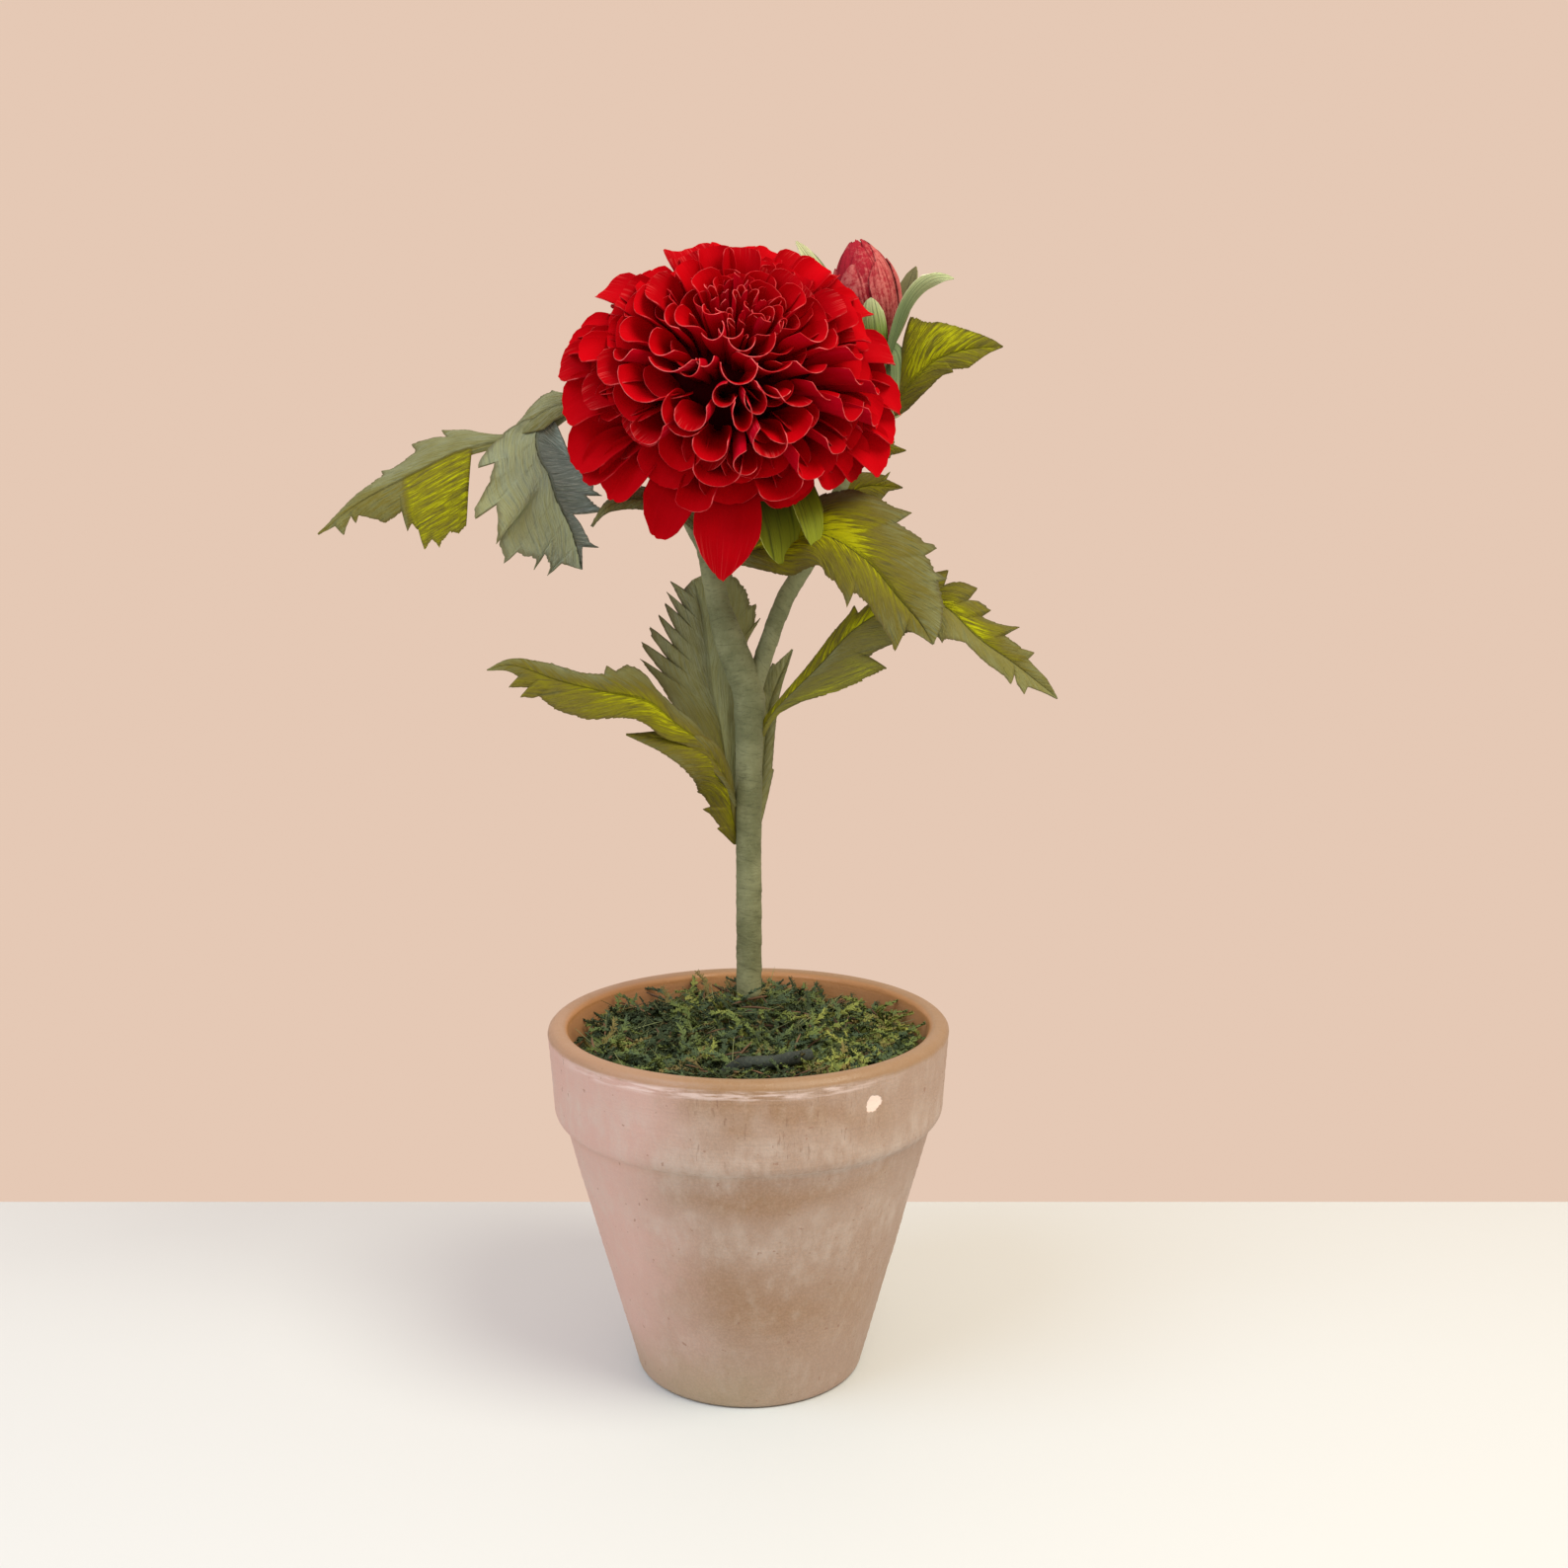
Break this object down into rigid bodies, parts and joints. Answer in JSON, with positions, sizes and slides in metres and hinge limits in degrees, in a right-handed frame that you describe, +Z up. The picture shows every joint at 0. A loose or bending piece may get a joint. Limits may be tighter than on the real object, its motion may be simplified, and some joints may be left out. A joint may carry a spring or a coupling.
{
  "type": "potted dahlia",
  "caption": "Handmade crepe-paper dahlia with an open bloom, a closed bud and cut leaves on a wrapped, forked stem, set in a moss-topped terracotta pot.",
  "frame": {"origin": "middle of the pot's foot, on the surface that it stands on", "axes": "+Z up along the stem, +X to the viewer's right, +Y away from the viewer that the bloom faces"},
  "size_m": [0.1902, 0.11, 0.3114],
  "materials": {
    "terracotta": "unglazed fired clay with a chalky bloom",
    "plaster": "set plaster",
    "moss": "preserved moss",
    "stem_paper": "wrapped green crepe paper",
    "leaf_paper": "green crepe paper, tinted dark at its edges",
    "petal_paper": "deep red crepe paper",
    "bud_paper": "dusty red crepe paper"
  },
  "bodies": {
    "root": {"pot": "terracotta", "plaster_filler": "plaster", "moss": "moss", "stem": "stem_paper", "bloom_petals": "petal_paper", "bloom_calyx": "leaf_paper", "bud_petals": "bud_paper", "bud_sepals": "leaf_paper", "leaf_spray_upper_left": "leaf_paper", "leaf_pair_left": "leaf_paper", "leaf_spiky_left": "leaf_paper", "leaf_below_bloom": "leaf_paper", "leaf_big_right": "leaf_paper", "leaf_long_right": "leaf_paper", "leaf_slim_right": "leaf_paper", "leaf_beside_bud": "leaf_paper", "leaf_tip_high": "leaf_paper", "leaf_tip_low": "leaf_paper"}
  },
  "joints": []
}
